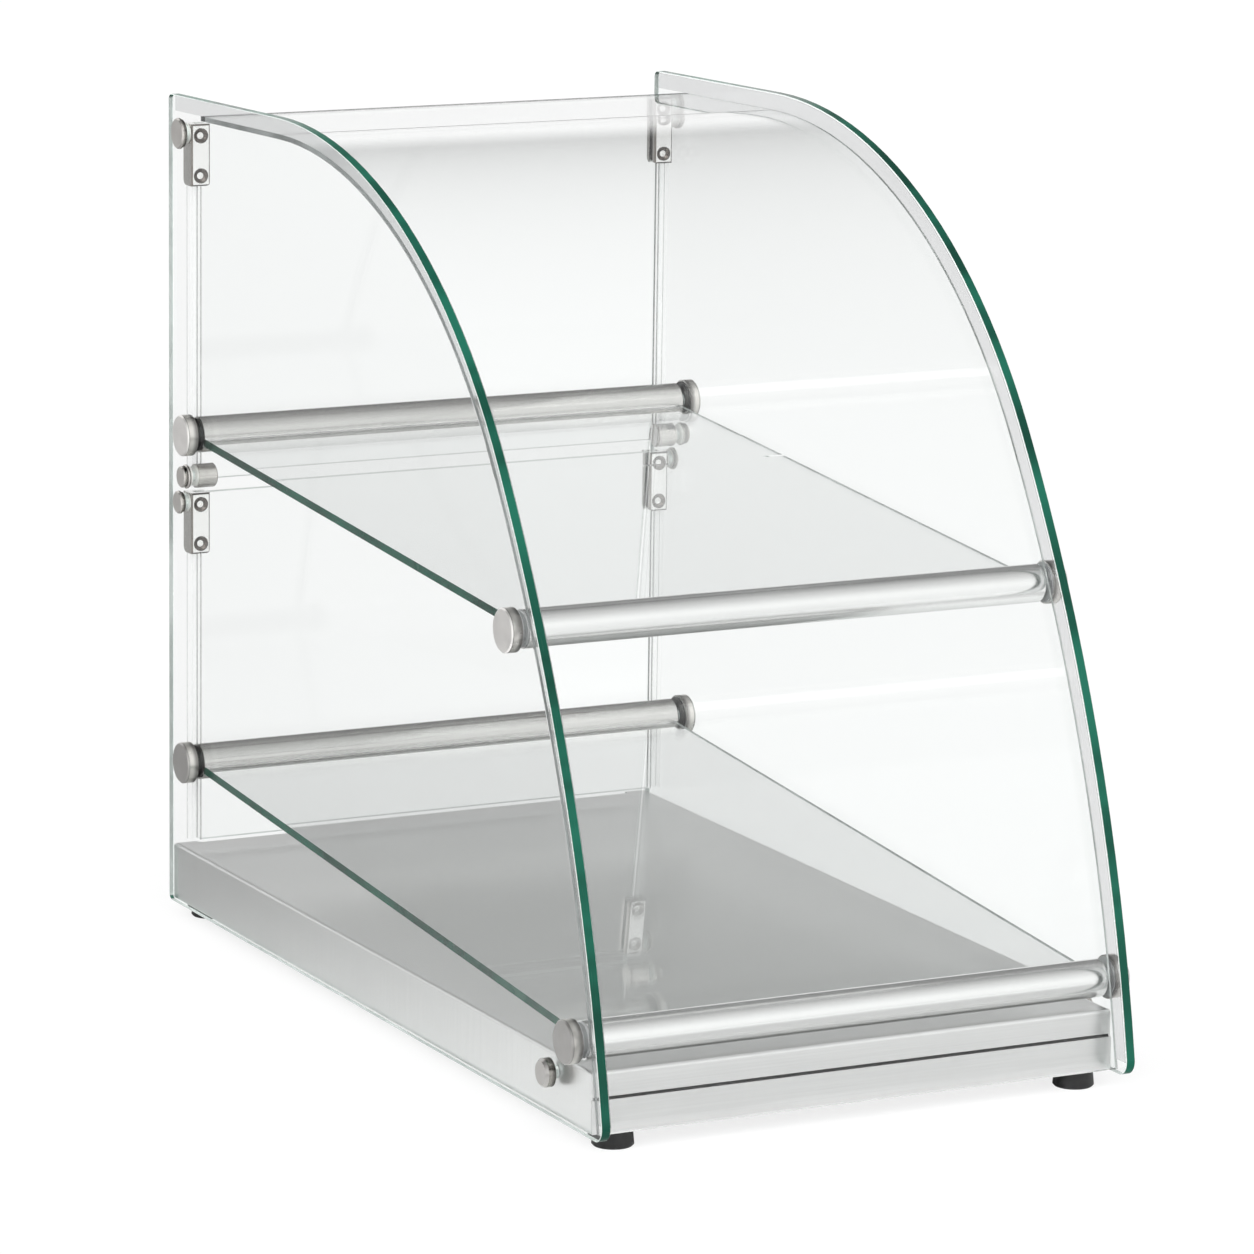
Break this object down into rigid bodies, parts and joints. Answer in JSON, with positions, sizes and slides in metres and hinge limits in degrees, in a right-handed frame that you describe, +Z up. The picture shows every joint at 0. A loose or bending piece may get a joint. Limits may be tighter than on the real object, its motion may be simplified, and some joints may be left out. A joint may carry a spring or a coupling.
{
  "type": "countertop display case",
  "caption": "Countertop food display case with flat side glasses, a bent front glass, sloping glass shelves on steel rails, a folded steel base and rear flap doors.",
  "frame": {"origin": "on the counter, under the middle of the case's bounding box", "axes": "+Z up, the bent glass faces -Y, the doors are at +Y, +X to the right of someone facing the front glass"},
  "size_m": [0.3642, 0.619, 0.534],
  "materials": {
    "side_glass": "clear float glass, polished green-tinted edges",
    "front_glass": "clear bent glass",
    "shelf_glass": "clear float glass, polished edges",
    "door_glass": "clear float glass",
    "clear_bond": "clear cured adhesive",
    "stainless_tube": "fine lengthwise brushing",
    "stainless_sheet": "straight brushing",
    "satin_cap": "turned, satin",
    "polished_steel": "polished",
    "zinc_steel": "plain",
    "plug_aluminium": "turned",
    "black_rubber": "matte",
    "clear_strip": "translucent extruded strip",
    "white_nylon": "moulded"
  },
  "bodies": {
    "case": {"base_deck": "stainless_sheet", "base_tray": "stainless_sheet", "door_stop_barrel_left": "polished_steel", "door_stop_barrel_right": "polished_steel", "door_stop_cap_left": "polished_steel", "door_stop_cap_right": "polished_steel", "door_stop_gaskets": "white_nylon", "door_stop_studs": "zinc_steel", "foot_screws": "zinc_steel", "front_glass": "front_glass", "front_glass_bonds": "clear_bond", "front_left_foot": "black_rubber", "front_right_foot": "black_rubber", "left_side_glass": "side_glass", "lower_door_pivot_left": "polished_steel", "lower_door_pivot_right": "polished_steel", "lower_front_rail": "stainless_tube", "lower_front_rail_cap_left": "satin_cap", "lower_front_rail_cap_right": "satin_cap", "lower_rear_rail": "stainless_tube", "lower_rear_rail_cap_left": "satin_cap", "lower_rear_rail_cap_right": "satin_cap", "lower_shelf": "shelf_glass", "pivot_bushes": "white_nylon", "rail_cap_gaskets": "black_rubber", "rail_end_gaskets": "black_rubber", "rail_end_plugs": "plug_aluminium", "rail_studs": "zinc_steel", "rear_left_foot": "black_rubber", "rear_right_foot": "black_rubber", "right_side_glass": "side_glass", "side_glass_bolt_gaskets": "white_nylon", "side_glass_bolt_nuts": "zinc_steel", "side_glass_bolts": "polished_steel", "upper_door_pivot_left": "polished_steel", "upper_door_pivot_right": "polished_steel", "upper_front_rail": "stainless_tube", "upper_front_rail_cap_left": "satin_cap", "upper_front_rail_cap_right": "satin_cap", "upper_rear_rail": "stainless_tube", "upper_rear_rail_cap_left": "satin_cap", "upper_rear_rail_cap_right": "satin_cap", "upper_shelf": "shelf_glass"},
    "upper_door": {"upper_door_clamp_left": "polished_steel", "upper_door_clamp_pads": "black_rubber", "upper_door_clamp_right": "polished_steel", "upper_door_clamp_screws": "polished_steel", "upper_door_edge_strips": "clear_strip", "upper_door_glass": "door_glass"},
    "lower_door": {"lower_door_clamp_left": "polished_steel", "lower_door_clamp_pads": "black_rubber", "lower_door_clamp_right": "polished_steel", "lower_door_clamp_screws": "polished_steel", "lower_door_edge_strips": "clear_strip", "lower_door_glass": "door_glass"}
  },
  "joints": [
    {"name": "upper_door_hinge", "type": "hinge", "parent": "case", "child": "upper_door", "pos_m": [0, 0.2881, 0.507], "axis": [1, 0, 0], "range_deg": [0, 95]},
    {"name": "lower_door_hinge", "type": "hinge", "parent": "case", "child": "lower_door", "pos_m": [0, 0.2881, 0.273], "axis": [1, 0, 0], "range_deg": [0, 95]}
  ]
}
